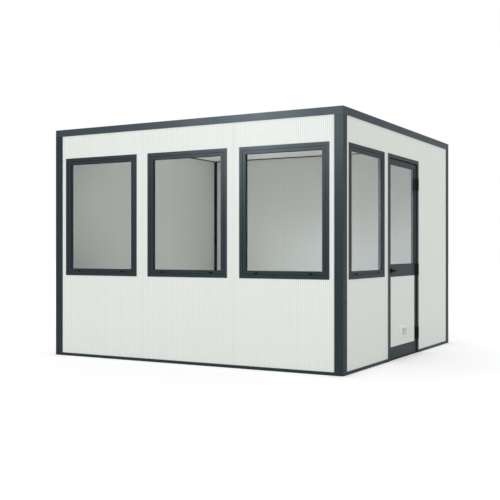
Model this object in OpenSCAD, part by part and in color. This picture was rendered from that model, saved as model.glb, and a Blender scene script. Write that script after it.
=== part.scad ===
/* [Booth] */
// Outer width of the front, over the corner posts
booth_w = 3400; // [3300:10:4200]
// Outer depth, over the corner posts
booth_d = 3350; // [2500:10:4200]
// Height from the ground to the top of the fascia
booth_h = 2460; // [2350:10:2900]

/* [Shell] */
// Thickness of the sandwich wall panels
wall_t = 50; // [40:1:70]
// Thickness of the sandwich roof panels
roof_t = 50; // [40:1:65]
// Thickness of the floor deck
floor_t = 22; // [15:1:28]
// How far posts, fascia and base rails stand in front of the wall panels
trim_proud = 8; // [6:1:14]
// Wall thickness of the inner flanges of posts and rails
lining_t = 3; // [2:0.5:5]
// Wall thickness of the hollow core of a corner post
core_wall = 3; // [2:0.5:6]
// Length of a corner post's legs along each wall
post_leg = 89; // [80:1:130]
// Height of the fascia
fascia_h = 72; // [70:1:140]
// Thickness of the fascia's lip on the roof
fascia_lip_t = 3; // [2:0.5:6]
// Width of the fascia's lip, from its outer face
fascia_lip_w = 60; // [30:1:120]
// Height of the base rails
base_h = 30; // [30:1:80]
// Thickness of the web that the wall panels stand on
base_web_t = 4; // [3:0.5:8]
// Width of the sloped water edge along the top of a base rail
base_slope = 5; // [2:0.5:6]
// Leg of the angle trim between wall and ceiling
ceiling_trim_leg = 12; // [10:1:25]
// Thickness of the angle trim between wall and ceiling
ceiling_trim_t = 2; // [1:0.5:4]
// Gap between the floor deck and the base rails
deck_gap = 2; // [1:0.5:10]
// Length of the tongue that joins two wall panels
tongue_l = 11; // [6:1:20]
// Thickness of that tongue
tongue_t = 16; // [8:1:24]
// Clearance of the tongue in its groove
tongue_play = 0.5; // [0.3:0.1:2]
// Depth of the bevel along each panel joint
seam = 3; // [1:0.5:6]

/* [Windows] */
// Distance from a corner of the booth to the nearest window frame
window_margin = 140; // [120:1:220]
// Gap between neighbouring front windows
window_gap = 138; // [90:1:240]
// Height of the window frames above the ground
window_sill = 875; // [500:5:950]
// Distance from the top of the fascia down to the window frames
window_drop = 317; // [240:1:500]
// How far window and door frames stand in front of the wall panels
frame_proud = 6; // [4:0.5:8]
// Face width of a window's fixed frame
frame_face = 36; // [30:1:50]
// How far a window frame laps over the wall panel
frame_lap = 18; // [10:1:24]
// Clearance between a frame and its cut-out
cut_play = 1; // [0.5:0.5:4]
// How far the back of a window frame stays short of the wall panel's inner face
frame_back = 12; // [4:0.5:20]
// Bevel along the outer edges of window and door frames
edge_bevel = 1.5; // [0.5:0.5:3]
// Thickness of the stop at the back of a window frame
frame_stop_t = 4; // [3:0.5:6]
// Width of that stop behind the sash
frame_stop_w = 10; // [6:1:16]
// Gap between frame and sash
sash_gap = 3; // [2:0.5:6]
// Face width of the sash
sash_face = 33; // [25:1:45]
// How far the sash sits behind the frame's front
sash_set = 2; // [0:0.5:4]
// How far the glass sits behind the frame's front
glass_set = 8; // [8:1:20]
// Thickness of the glass
glass_t = 6; // [4:1:10]
// How deep the glass is held by the sash or the door leaf
glass_edge = 10; // [6:1:14]
// Width of the sloped bead round the glass
bead_w = 3; // [2:0.5:8]
// Depth of that slope
bead_d = 3; // [2:0.5:5]
// Width of a drain cap
cap_w = 34; // [20:1:40]
// Height of a drain cap
cap_h = 14; // [6:1:16]
// How far a drain cap stands out
cap_proud = 4; // [2:0.5:6]
// Distance from a window's side to the middle of its drain cap
cap_inset = 185; // [120:5:300]

/* [Door] */
// Outer width of the door frame
door_w = 992; // [900:1:1100]
// Distance from the top of the fascia down to the door frame
door_drop = 315; // [240:1:500]
// Gap between the side window and the door frame
door_gap = 102; // [60:1:240]
// Face width of the door frame
door_face = 40; // [34:1:60]
// How far the door frame laps over the wall panels
door_lap = 15; // [8:1:20]
// Thickness of the stop behind the leaf
door_stop_t = 7; // [4:0.5:12]
// Width of the stop, from the frame's inner edge
door_stop_w = 17; // [14:1:25]
// Clearance between the leaf's back and its stop
door_stop_gap = 5; // [5:0.5:10]
// Gap between the leaf's edges and the frame
leaf_gap = 8; // [8:0.5:12]
// How far the leaf sits behind the frame's front
leaf_set = 14; // [10:1:18]
// Thickness of the leaf
leaf_t = 44; // [36:1:50]
// Width of the leaf's stiles
stile_w = 63; // [50:1:80]
// Height of the leaf's top rail
top_rail_h = 53; // [45:1:80]
// Height of the underside of the leaf's middle rail
mid_rail_z = 868; // [700:1:1000]
// Height of the leaf's middle rail
mid_rail_h = 130; // [100:1:180]
// Height of the leaf's kick rail
kick_h = 126; // [90:1:220]
// Height of the threshold
threshold_h = 6; // [4:0.5:12]
// Gap between the leaf and the threshold
leaf_under = 5; // [5:0.5:12]
// How far the door's glass sits behind the leaf's face
leaf_glass_set = 6; // [6:1:18]
// Thickness of the lower panel
lower_panel_t = 24; // [20:1:26]
// How far the lower panel sits behind the leaf's face
lower_panel_set = 1; // [0.5:0.5:4]
// Gap between the lower panel and the leaf's frame
lower_panel_gap = 0.5; // [0.3:0.1:2]

/* [Vent] */
// Width of the vent
vent_w = 175; // [120:1:260]
// Height of the vent
vent_h = 105; // [80:1:160]
// Height of the vent's middle above the ground
vent_z = 275; // [220:5:500]
// Depth of the vent's rim
vent_d = 18; // [10:1:22]
// Width of the vent's rim
vent_rim = 12; // [8:1:20]
// How far the hood reaches in front of the rim
vent_hood = 14; // [4:1:18]
// Number of louvre blades
vent_blades = 4; // [3:1:6]
// Thickness of a louvre blade
blade_t = 2; // [1.5:0.5:4]
// Rise of a louvre blade from its front to its back
blade_rise = 13; // [8:1:16]

/* [Hinges] */
// Length of a hinge
hinge_h = 130; // [100:1:160]
// Radius of a hinge's barrel
hinge_r = 8; // [7:0.5:11]
// Radius of a hinge's pin
pin_r = 4; // [3:0.5:5]
// Running clearance between pin and bore
pin_play = 0.05; // [0.02:0.01:0.1]
// Gap between the knuckles of a hinge
knuckle_gap = 1; // [0.5:0.5:2]
// Length of a hinge's middle knuckle
knuckle_h = 48; // [36:1:60]
// Width of a hinge's wing on the leaf
wing_w = 34; // [26:1:38]
// Width of a hinge's wing on the door frame
frame_wing_w = 20; // [18:1:36]
// Thickness of the wing on the door frame
wing_t = 4; // [3:0.5:5]
// Distance from the leaf's ends to the outer hinges
hinge_inset = 217; // [150:1:320]

/* [Handle] */
// Distance from the leaf's edge to the lever's spindle
backset = 75; // [50:1:90]
// Radius of a rosette
rosette_r = 30; // [22:1:34]
// Thickness of a rosette
rosette_t = 8; // [5:1:12]
// Bevel round the front of a rosette
rosette_bevel = 2; // [1:0.5:4]
// Radius of the lever's round bar
lever_r = 9; // [7:0.5:11]
// Running clearance between lever and rosette
lever_play = 0.05; // [0.02:0.01:0.1]
// Radius of the spindle inside the leaf
spindle_r = 5; // [4:0.5:6]
// Clearance around the spindle inside the leaf
spindle_play = 1.5; // [1:0.5:3]
// Length of the lever, from the spindle to its end
lever_reach = 115; // [100:1:150]
// Radius of the lever's bend, along its middle
lever_bend = 16; // [12:1:24]
// Distance from the leaf's face to the middle of the lever's bar
lever_stand = 42; // [38:1:60]

/* [Hidden] */

anthracite = "#3c474d";
panel_white = "#e4e6e3";
glass_grey = [0.72, 0.76, 0.76, 0.4];
fitting_black = "#1c1d1e";
trim_black = "#2a2b29";
deck_grey = "#8b8d8c";
round_fn = 48;
// Overshoot of cutting solids
over = 1;

// Depths behind the outer face of the corner posts
wall_out = trim_proud;
wall_in = wall_out + wall_t;
lining_in = wall_in + lining_t;
frame_out = wall_out - frame_proud;
sash_out = frame_out + sash_set;
frame_in = wall_in - frame_back;
stop_front = frame_in - frame_stop_t;
glass_out = frame_out + glass_set;
leaf_out = frame_out + leaf_set;
leaf_in = leaf_out + leaf_t;
door_stop_front = leaf_in + door_stop_gap;
door_in = door_stop_front + door_stop_t;
leaf_glass_out = leaf_out + leaf_glass_set;
lower_panel_out = leaf_out + lower_panel_set;

// Heights
roof_z = booth_h - fascia_lip_t;
ceiling_z = roof_z - roof_t;
fascia_z = booth_h - fascia_h;
window_head = booth_h - window_drop;
window_h = window_head - window_sill;
door_h = booth_h - door_drop;
leaf_z0 = threshold_h + leaf_under;
leaf_z1 = door_h - door_face - leaf_gap;
mid_rail_top = mid_rail_z + mid_rail_h;
kick_top = leaf_z0 + kick_h;
lever_z = mid_rail_z + mid_rail_h / 2;
hinge_levels = [leaf_z0 + hinge_inset, lever_z, leaf_z1 - hinge_inset];

// Places along the walls, counted from the left end as seen from outside
window_w = (booth_w - 2 * window_margin - 2 * window_gap) / 3;
window_pitch = window_w + window_gap;
front_window_starts = [for (i = [-1:1]) booth_w / 2 + i * window_pitch - window_w / 2];
door_start = window_margin + window_w + door_gap;
door_end = door_start + door_w;
leaf_s0 = door_start + door_face + leaf_gap;
leaf_s1 = door_end - door_face - leaf_gap;
light_s0 = leaf_s0 + stile_w;
light_s1 = leaf_s1 - stile_w;
light_z1 = leaf_z1 - top_rail_h;
door_mid = (door_start + door_end) / 2;
hinge_s = leaf_s1 + leaf_gap / 2;
hinge_u = frame_out - hinge_r;
lever_s = leaf_s0 + backset;

// Each wall's own frame: s along the wall from its left end, u inwards, z up
module on_front() translate([-booth_w / 2, -booth_d / 2, 0]) children();
module on_right() translate([booth_w / 2, -booth_d / 2, 0]) rotate([0, 0, 90]) children();
module on_back() translate([booth_w / 2, booth_d / 2, 0]) rotate([0, 0, 180]) children();
module on_left() translate([-booth_w / 2, booth_d / 2, 0]) rotate([0, 0, 270]) children();

// Box between two places along the wall, two depths and two heights
module slab(s0, s1, u0, u1, z0, z1)
    translate([s0, u0, z0])
        cube([s1 - s0, u1 - u0, z1 - z0]);

// Rectangular ring on the wall: outer edges, face width and two depths
module ring(s0, s1, z0, z1, face, u0, u1)
    difference() {
        slab(s0, s1, u0, u1, z0, z1);
        slab(s0 + face, s1 - face, u0 - over, u1 + over, z0 + face, z1 - face);
    }

// Profile given as depth and height, drawn along the wall
module run(s0, s1)
    translate([s0, 0, 0])
        rotate([90, 0, 90])
            linear_extrude(s1 - s0)
                children();

// Profile given as depth and distance from the edge, drawn round a rectangle with mitred corners
module mitred_frame(w, h, reach) {
    mitred_bar(w, reach) children();
    translate([0, 0, h]) mirror([0, 0, 1]) mitred_bar(w, reach) children();
    upright() mitred_bar(h, reach) children();
    translate([w, 0, 0]) mirror([1, 0, 0]) upright() mitred_bar(h, reach) children();
}

// Bar along the wall with a mitre at its right end, and at its left end unless that end is square
module mitred_bar(l, reach, square_foot = false)
    intersection() {
        run(0, l) children();
        stand(frame_out - over, door_in + over)
            polygon([[0, 0], [l, 0], [l - reach, reach], [square_foot ? 0 : reach, reach]]);
    }

// Turns a bar along the wall into a post with its inner side to the right
module upright() mirror([1, 0, -1]) children();

// Outline given along the wall and in height, drawn from one depth to another
module stand(u0, u1)
    translate([0, u1, 0])
        rotate([90, 0, 0])
            linear_extrude(u1 - u0)
                children();

// Round bar that points into the wall
module spike(s, u0, u1, z, r)
    translate([s, u0, z])
        rotate([-90, 0, 0])
            cylinder(h = u1 - u0, r = r, $fn = round_fn);

// Section of a sandwich panel, with a groove at its left edge and a tongue at its right one
module panel_section(s0, s1, t, has_groove, has_tongue) {
    groove_half = tongue_t / 2 + tongue_play;
    difference() {
        translate([s0, 0])
            square([s1 - s0, t]);
        if (has_groove)
            translate([s0 - over, t / 2 - groove_half])
                square([tongue_l + tongue_play + over, 2 * groove_half]);
        for (face = [0, t]) {
            if (has_groove) seam_cut(s0, face);
            if (has_tongue) seam_cut(s1, face);
        }
    }
    if (has_tongue)
        translate([s1 - over, t / 2 - tongue_t / 2])
            square([tongue_l + over, tongue_t]);
}

// Bevel along the edge of a panel
module seam_cut(s, face)
    translate([s, face])
        rotate(45)
            square(seam * sqrt(2), center = true);

module wall_panel(s0, s1, has_groove, has_tongue)
    color(panel_white)
        translate([0, wall_out, base_web_t])
            linear_extrude(ceiling_z - base_web_t)
                panel_section(s0, s1, wall_t, has_groove, has_tongue);

// One of the three panels of a wall that is wall_l long
module three_panel_wall(wall_l, i) {
    edges = [lining_in, (wall_l - window_pitch) / 2, (wall_l + window_pitch) / 2, wall_l - lining_in];
    wall_panel(edges[i], edges[i + 1], i > 0, i < 2);
}

// Cut-out in a wall panel for a window that starts at s
module window_cut(s)
    slab(s + frame_lap - cut_play, s + window_w - frame_lap + cut_play, wall_out - over, wall_in + over,
        window_sill + frame_lap - cut_play, window_head - frame_lap + cut_play);

module front_panel(i)
    on_front()
        difference() {
            three_panel_wall(booth_w, i);
            color(panel_white) window_cut(front_window_starts[i]);
        }

// Corner post: outer legs up to the fascia, on a hollow core that reaches the roof
module corner_post()
    color(anthracite) {
        linear_extrude(fascia_z) {
            post_legs(0, post_leg, trim_proud);
            post_core();
        }
        translate([0, 0, fascia_z - over])
            linear_extrude(ceiling_z - fascia_z + over)
                post_core();
    }

// Two legs of one thickness that meet at a corner
module post_legs(corner, leg_end, t)
    translate([corner, corner])
        difference() {
            square(leg_end - corner);
            translate([t, t])
                square(leg_end);
        }

// Hollow core, with inner legs that grip the wall panels
module post_core() {
    difference() {
        translate([trim_proud, trim_proud])
            square(lining_in - trim_proud);
        translate([trim_proud + core_wall, trim_proud + core_wall])
            square(lining_in - trim_proud - 2 * core_wall);
    }
    post_legs(wall_in, post_leg, lining_t);
}

// Channel that a wall stands in, with a sloped water edge outside
module base_rail(s0, s1)
    color(anthracite)
        run(s0, s1)
            polygon([[0, 0], [0, base_h - base_slope], [base_slope, base_h], [wall_out, base_h],
                [wall_out, base_web_t], [wall_in, base_web_t], [wall_in, base_h],
                [lining_in, base_h], [lining_in, 0]]);

// Fascia along a wall, with a lip on the roof and mitred ends
module fascia(wall_l)
    color(anthracite)
        intersection() {
            run(0, wall_l)
                polygon([[0, fascia_z], [0, booth_h], [fascia_lip_w, booth_h], [fascia_lip_w, roof_z],
                    [trim_proud, roof_z], [trim_proud, fascia_z]]);
            linear_extrude(booth_h + over)
                polygon([[0, 0], [wall_l, 0], [wall_l - fascia_lip_w, fascia_lip_w],
                    [fascia_lip_w, fascia_lip_w]]);
        }

module ceiling_trim(wall_l)
    color(trim_black)
        run(post_leg, wall_l - post_leg)
            polygon([[wall_in, ceiling_z], [wall_in + ceiling_trim_leg, ceiling_z],
                [wall_in + ceiling_trim_leg, ceiling_z - ceiling_trim_t],
                [wall_in + ceiling_trim_t, ceiling_z - ceiling_trim_t],
                [wall_in + ceiling_trim_t, ceiling_z - ceiling_trim_leg],
                [wall_in, ceiling_z - ceiling_trim_leg]]);

module roof_panel(i) {
    cover = (booth_w - 2 * trim_proud) / 3;
    color(panel_white)
        on_front()
            stand(trim_proud, booth_d - trim_proud)
                translate([trim_proud, ceiling_z])
                    panel_section(i * cover, (i + 1) * cover, roof_t, i > 0, i < 2);
}

// Draws a piece once for each window, at the window's own left lower corner
module at_windows() {
    for (s = front_window_starts)
        on_front()
            translate([s, 0, window_sill])
                children();
    on_right()
        translate([window_margin, 0, window_sill])
            children();
}

module window_frames() {
    stop = frame_face + frame_stop_w;
    color(anthracite)
        at_windows()
            mitred_frame(window_w, window_h, stop)
                polygon([[frame_out + edge_bevel, 0], [wall_out, 0], [wall_out, frame_lap], [frame_in, frame_lap],
                    [frame_in, stop], [stop_front, stop], [stop_front, frame_face],
                    [frame_out, frame_face], [frame_out, edge_bevel]]);
}

// Cover round each window on the inner face of the wall
module window_inner_trims() {
    stop = frame_face + frame_stop_w;
    color(anthracite)
        at_windows()
            mitred_frame(window_w, window_h, stop)
                polygon([[wall_in, 0], [lining_in, 0], [lining_in, stop], [frame_in, stop],
                    [frame_in, stop - lining_t], [wall_in, stop - lining_t]]);
}

// Sash with a sloped bead outside and a groove that holds the glass
module window_sashes() {
    edge = frame_face + sash_gap;
    groove = sash_face - glass_edge;
    color(anthracite)
        at_windows()
            translate([edge, 0, edge])
                mitred_frame(window_w - 2 * edge, window_h - 2 * edge, sash_face)
                    polygon([[sash_out, 0], [stop_front, 0], [stop_front, sash_face],
                        [glass_out + glass_t, sash_face], [glass_out + glass_t, groove],
                        [glass_out, groove], [glass_out, sash_face],
                        [sash_out + bead_d, sash_face], [sash_out, sash_face - bead_w]]);
}

module window_panes() {
    hold = frame_face + sash_gap + sash_face - glass_edge;
    color(glass_grey)
        at_windows()
            slab(hold, window_w - hold, glass_out, glass_out + glass_t, hold, window_h - hold);
}

module window_drain_caps() {
    level = frame_face + sash_gap + (sash_face - bead_w) / 3;
    color(fitting_black)
        at_windows()
            for (s = [cap_inset, window_w - cap_inset])
                run(s - cap_w / 2, s + cap_w / 2)
                    polygon([[sash_out, level - cap_h / 2], [sash_out, level + cap_h / 2],
                        [sash_out - cap_proud / 2, level + cap_h / 2],
                        [sash_out - cap_proud, level], [sash_out - cap_proud, level - cap_h / 2]]);
}

// Section of the door frame: face flange, body in the wall and stop behind the leaf
module door_profile() {
    stop = door_face + door_stop_w;
    polygon([[frame_out + edge_bevel, 0], [wall_out, 0], [wall_out, door_lap], [door_in, door_lap],
        [door_in, stop], [door_stop_front, stop], [door_stop_front, door_face],
        [frame_out, door_face], [frame_out, edge_bevel]]);
}

module door_jambs() {
    reach = door_face + door_stop_w;
    color(anthracite)
        on_right() {
            translate([door_start, 0, 0])
                upright() mitred_bar(door_h, reach, true) door_profile();
            translate([door_end, 0, 0])
                mirror([1, 0, 0]) upright() mitred_bar(door_h, reach, true) door_profile();
        }
}

module door_head()
    color(anthracite)
        on_right()
            translate([door_start, 0, door_h])
                mirror([0, 0, 1]) mitred_bar(door_w, door_face + door_stop_w) door_profile();

module door_threshold() {
    s0 = door_start + door_face;
    s1 = door_end - door_face;
    color(anthracite)
        on_right()
            difference() {
                run(s0, s1)
                    polygon([[wall_out, 0], [wall_out, threshold_h / 2], [wall_out + threshold_h, threshold_h],
                        [door_in + over, threshold_h], [door_in + over, 0]]);
                for (s = [s0, s1])
                    slab(s - door_stop_w, s + door_stop_w, door_stop_front, door_in, -over, threshold_h + over);
            }
}

module floor_deck() {
    edge = lining_in + deck_gap;
    color(deck_grey)
        difference() {
            on_front() slab(edge, booth_w - edge, edge, booth_d - edge, 0, floor_t);
            on_right() slab(door_start, door_end, 0, door_in + over, -over, floor_t + over);
        }
}

// Leaf frame with grooves that hold the glass and the lower panel, and a bore for the spindle
module door_leaf()
    color(anthracite)
        on_right()
            difference() {
                slab(leaf_s0, leaf_s1, leaf_out, leaf_in, leaf_z0, leaf_z1);
                leaf_opening(mid_rail_top, light_z1);
                leaf_opening(kick_top, mid_rail_z);
                bead_cut();
                spike(lever_s, leaf_out - over, leaf_in + over, lever_z, spindle_r + spindle_play);
            }

// Slope round the outer side of the door's glass
module bead_cut()
    translate([light_s0 - bead_w, 0, mid_rail_top - bead_w])
        mitred_frame(light_s1 - light_s0 + 2 * bead_w, light_z1 - mid_rail_top + 2 * bead_w, bead_w + over)
            polygon([[leaf_out, 0], [leaf_out + bead_d, bead_w], [leaf_out + bead_d, bead_w + over],
                [leaf_out - over, bead_w + over], [leaf_out - over, 0]]);

module leaf_opening(z0, z1) {
    slab(light_s0, light_s1, leaf_out - over, leaf_in + over, z0, z1);
    held_edge(z0, z1);
}

// Slab that fills the groove round one of the leaf's openings
module held_edge(z0, z1)
    slab(light_s0 - glass_edge, light_s1 + glass_edge, leaf_glass_out, leaf_glass_out + glass_t,
        z0 - glass_edge, z1 + glass_edge);

module door_glass()
    color(glass_grey)
        on_right()
            held_edge(mid_rail_top, light_z1);

module door_lower_panel()
    color(panel_white)
        on_right()
            difference() {
                union() {
                    held_edge(kick_top, mid_rail_z);
                    slab(light_s0 + lower_panel_gap, light_s1 - lower_panel_gap,
                        lower_panel_out, lower_panel_out + lower_panel_t,
                        kick_top + lower_panel_gap, mid_rail_z - lower_panel_gap);
                }
                slab(door_mid - vent_w / 2 + vent_rim, door_mid + vent_w / 2 - vent_rim,
                    lower_panel_out - over, lower_panel_out + lower_panel_t + over,
                    vent_z - vent_h / 2 + vent_rim, vent_z + vent_h / 2 - vent_rim);
            }

// Vent with a rim, a hood above and sloping louvre blades
module door_vent() {
    s0 = door_mid - vent_w / 2;
    s1 = door_mid + vent_w / 2;
    z0 = vent_z - vent_h / 2;
    z1 = vent_z + vent_h / 2;
    rim_out = lower_panel_out - vent_d;
    pitch = (vent_h - 2 * vent_rim) / vent_blades;
    color(panel_white)
        on_right() {
            ring(s0, s1, z0, z1, vent_rim, rim_out, lower_panel_out);
            run(s0, s1)
                polygon([[rim_out, z1], [rim_out - vent_hood, z1 - vent_rim / 2],
                    [rim_out - vent_hood, z1 - vent_rim], [rim_out + over, z1 - vent_rim], [rim_out + over, z1]]);
            for (i = [0:vent_blades - 1])
                run(s0 + vent_rim - over, s1 - vent_rim + over)
                    let (mid = z0 + vent_rim + (i + 1 / 2) * pitch, low = mid - blade_rise / 2)
                        polygon([[rim_out + blade_t, low], [rim_out + blade_t, low + blade_t],
                            [lower_panel_out - blade_t, low + blade_rise],
                            [lower_panel_out - blade_t, low + blade_rise - blade_t]]);
        }
}

// Draws a piece at each hinge, at the middle of its axis
module at_hinges()
    on_right()
        for (z = hinge_levels)
            translate([hinge_s, hinge_u, z])
                children();

// Frame half of a hinge: pin, end knuckles and a wing on the door frame
module frame_hinge_halves() {
    end_h = (hinge_h - knuckle_h) / 2 - knuckle_gap;
    color(fitting_black)
        at_hinges() {
            cylinder(h = hinge_h, r = pin_r, center = true, $fn = round_fn);
            for (side = [-1, 1])
                translate([0, 0, side * (hinge_h - end_h) / 2]) {
                    cylinder(h = end_h, r = hinge_r, center = true, $fn = round_fn);
                    translate([0, hinge_r - wing_t, -end_h / 2])
                        cube([frame_wing_w, wing_t, end_h]);
                }
            translate([hinge_r + knuckle_gap, hinge_r - wing_t, -hinge_h / 2])
                cube([frame_wing_w - hinge_r - knuckle_gap, wing_t, hinge_h]);
        }
}

// Leaf half of a hinge: middle knuckle and a thick wing that reaches back to the leaf
module leaf_hinge_halves() {
    depth = leaf_out - hinge_u;
    color(fitting_black)
        at_hinges()
            difference() {
                union() {
                    cylinder(h = knuckle_h, r = hinge_r, center = true, $fn = round_fn);
                    translate([-wing_w, hinge_r - wing_t, -knuckle_h / 2])
                        cube([wing_w, wing_t, knuckle_h]);
                    translate([-wing_w, hinge_r - wing_t, -hinge_h / 2])
                        cube([wing_w - hinge_r - knuckle_gap, depth - hinge_r + wing_t, hinge_h]);
                }
                cylinder(h = knuckle_h + 2 * over, r = pin_r + pin_play, center = true, $fn = round_fn);
            }
}

// Draws a piece on the leaf's outer side and its mirror image on the inner side
module on_both_sides() {
    children();
    translate([0, leaf_out + leaf_in, 0]) mirror([0, 1, 0]) children();
}

module door_rosettes()
    color(fitting_black)
        on_right()
            on_both_sides()
                translate([lever_s, leaf_out, lever_z])
                    rotate([90, 0, 0])
                        difference() {
                            union() {
                                cylinder(h = rosette_t - rosette_bevel, r = rosette_r, $fn = round_fn);
                                translate([0, 0, rosette_t - rosette_bevel])
                                    cylinder(h = rosette_bevel, r1 = rosette_r, r2 = rosette_r - rosette_bevel,
                                        $fn = round_fn);
                            }
                            translate([0, 0, -over])
                                cylinder(h = rosette_t + 2 * over, r = lever_r + lever_play, $fn = round_fn);
                        }

// Two levers on one spindle
module door_levers()
    color(fitting_black)
        on_right() {
            spike(lever_s, leaf_out - rosette_t, leaf_in + rosette_t, lever_z, spindle_r);
            on_both_sides() lever();
        }

// Round bar that leaves the leaf, bends and runs towards the hinges
module lever() {
    bar_u = leaf_out - lever_stand;
    spike(lever_s, bar_u + lever_bend, leaf_out, lever_z, lever_r);
    translate([lever_s + lever_bend, bar_u + lever_bend, lever_z])
        rotate([0, 0, 180])
            rotate_extrude(angle = 90, $fn = round_fn)
                translate([lever_bend, 0])
                    circle(r = lever_r, $fn = round_fn);
    translate([lever_s + lever_bend, bar_u, lever_z])
        rotate([0, 90, 0])
            cylinder(h = lever_reach - lever_bend - lever_r, r = lever_r, $fn = round_fn);
    translate([lever_s + lever_reach - lever_r, bar_u, lever_z])
        sphere(r = lever_r, $fn = round_fn);
}

module right_base_rail()
    on_right() {
        base_rail(post_leg, door_start);
        base_rail(door_end, booth_d - post_leg);
    }

module right_window_panel()
    on_right()
        difference() {
            wall_panel(lining_in, door_start + door_lap - cut_play, false, false);
            color(panel_white) window_cut(window_margin);
        }

module right_over_door_panel()
    color(panel_white)
        on_right()
            slab(door_start + door_lap - cut_play, door_end - door_lap + cut_play, wall_out, wall_in,
                door_h - door_lap + cut_play, ceiling_z);

module right_rear_panel()
    on_right()
        wall_panel(door_end - door_lap + cut_play, booth_d - lining_in, false, false);

module ceiling_trims() {
    on_front() ceiling_trim(booth_w);
    on_right() ceiling_trim(booth_d);
    on_back() ceiling_trim(booth_w);
    on_left() ceiling_trim(booth_d);
}

floor_deck();
on_front() base_rail(post_leg, booth_w - post_leg);  // front_base_rail
right_base_rail();
on_back() base_rail(post_leg, booth_w - post_leg);  // back_base_rail
on_left() base_rail(post_leg, booth_d - post_leg);  // left_base_rail
on_front() corner_post();  // front_left_post
on_right() corner_post();  // front_right_post
on_back() corner_post();  // back_right_post
on_left() corner_post();  // back_left_post
front_panel(0);  // front_left_panel
front_panel(1);  // front_middle_panel
front_panel(2);  // front_right_panel
right_window_panel();
right_over_door_panel();
right_rear_panel();
on_back() three_panel_wall(booth_w, 0);  // back_right_panel
on_back() three_panel_wall(booth_w, 1);  // back_middle_panel
on_back() three_panel_wall(booth_w, 2);  // back_left_panel
on_left() three_panel_wall(booth_d, 0);  // left_rear_panel
on_left() three_panel_wall(booth_d, 1);  // left_middle_panel
on_left() three_panel_wall(booth_d, 2);  // left_front_panel
roof_panel(0);  // left_roof_panel
roof_panel(1);  // middle_roof_panel
roof_panel(2);  // right_roof_panel
on_front() fascia(booth_w);  // front_fascia
on_right() fascia(booth_d);  // right_fascia
on_back() fascia(booth_w);  // back_fascia
on_left() fascia(booth_d);  // left_fascia
ceiling_trims();
window_frames();
window_inner_trims();
window_sashes();
window_panes();
window_drain_caps();
door_jambs();
door_head();
door_threshold();
frame_hinge_halves();
door_leaf();
door_glass();
door_lower_panel();
door_vent();
door_rosettes();
leaf_hinge_halves();
door_levers();
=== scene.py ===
"""Dresses the guard booth: finishes, wall ribs, seals, screws, stage, light and camera."""

import logging
import math
from dataclasses import dataclass
from enum import Enum
from typing import Iterable, Iterator, Sequence

import bmesh
import bpy
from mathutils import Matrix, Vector


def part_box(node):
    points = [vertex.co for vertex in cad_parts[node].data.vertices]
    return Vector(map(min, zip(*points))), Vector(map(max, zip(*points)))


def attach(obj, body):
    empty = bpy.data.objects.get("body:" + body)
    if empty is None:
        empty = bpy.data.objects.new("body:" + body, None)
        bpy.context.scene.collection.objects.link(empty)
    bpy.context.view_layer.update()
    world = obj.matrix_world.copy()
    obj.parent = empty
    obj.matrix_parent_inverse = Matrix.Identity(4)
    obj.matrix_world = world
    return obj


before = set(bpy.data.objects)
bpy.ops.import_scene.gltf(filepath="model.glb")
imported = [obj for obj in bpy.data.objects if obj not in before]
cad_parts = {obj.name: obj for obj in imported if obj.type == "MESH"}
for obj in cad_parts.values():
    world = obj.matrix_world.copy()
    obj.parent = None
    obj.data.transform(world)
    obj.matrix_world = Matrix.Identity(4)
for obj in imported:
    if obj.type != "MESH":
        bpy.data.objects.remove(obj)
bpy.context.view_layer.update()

LOG = logging.getLogger("guard_booth")
MM = 0.001
# Thickness of the near-black sheets of painted shade over the posts' inner legs.
SHADE_COVER_THICKNESS = 1 * MM

Point = tuple[float, float, float]
Srgb = tuple[int, int, int]
Profile = Sequence[tuple[float, float]]
Pair = tuple[Vector, Vector]
Socket = bpy.types.NodeSocket
Values = dict[str | int, object]


class Body(Enum):
    """The bodies that pieces ride on."""

    BOOTH = "booth"
    DOOR = "door"


class Wall(Enum):
    """The four walls, as quarter turns from the front one."""

    FRONT = 0
    RIGHT = 1
    BACK = 2
    LEFT = 3


@dataclass(frozen=True)
class Box:
    """A box with its sides along the axes."""

    low: Vector
    high: Vector

    @classmethod
    def around(cls, points: Iterable[Sequence[float]]) -> "Box":
        """The smallest box round some points."""
        axes = list(zip(*points))
        return cls(Vector([min(axis) for axis in axes]), Vector([max(axis) for axis in axes]))

    @property
    def middle(self) -> Vector:
        """The box's centre."""
        return (self.low + self.high) / 2


@dataclass(frozen=True)
class Span:
    """A rectangle on a wall, along the wall and in height."""

    s0: float
    s1: float
    z0: float
    z1: float

    def grown(self, by: float) -> "Span":
        """The same rectangle with each side moved out."""
        return Span(self.s0 - by, self.s1 + by, self.z0 - by, self.z1 + by)


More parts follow.
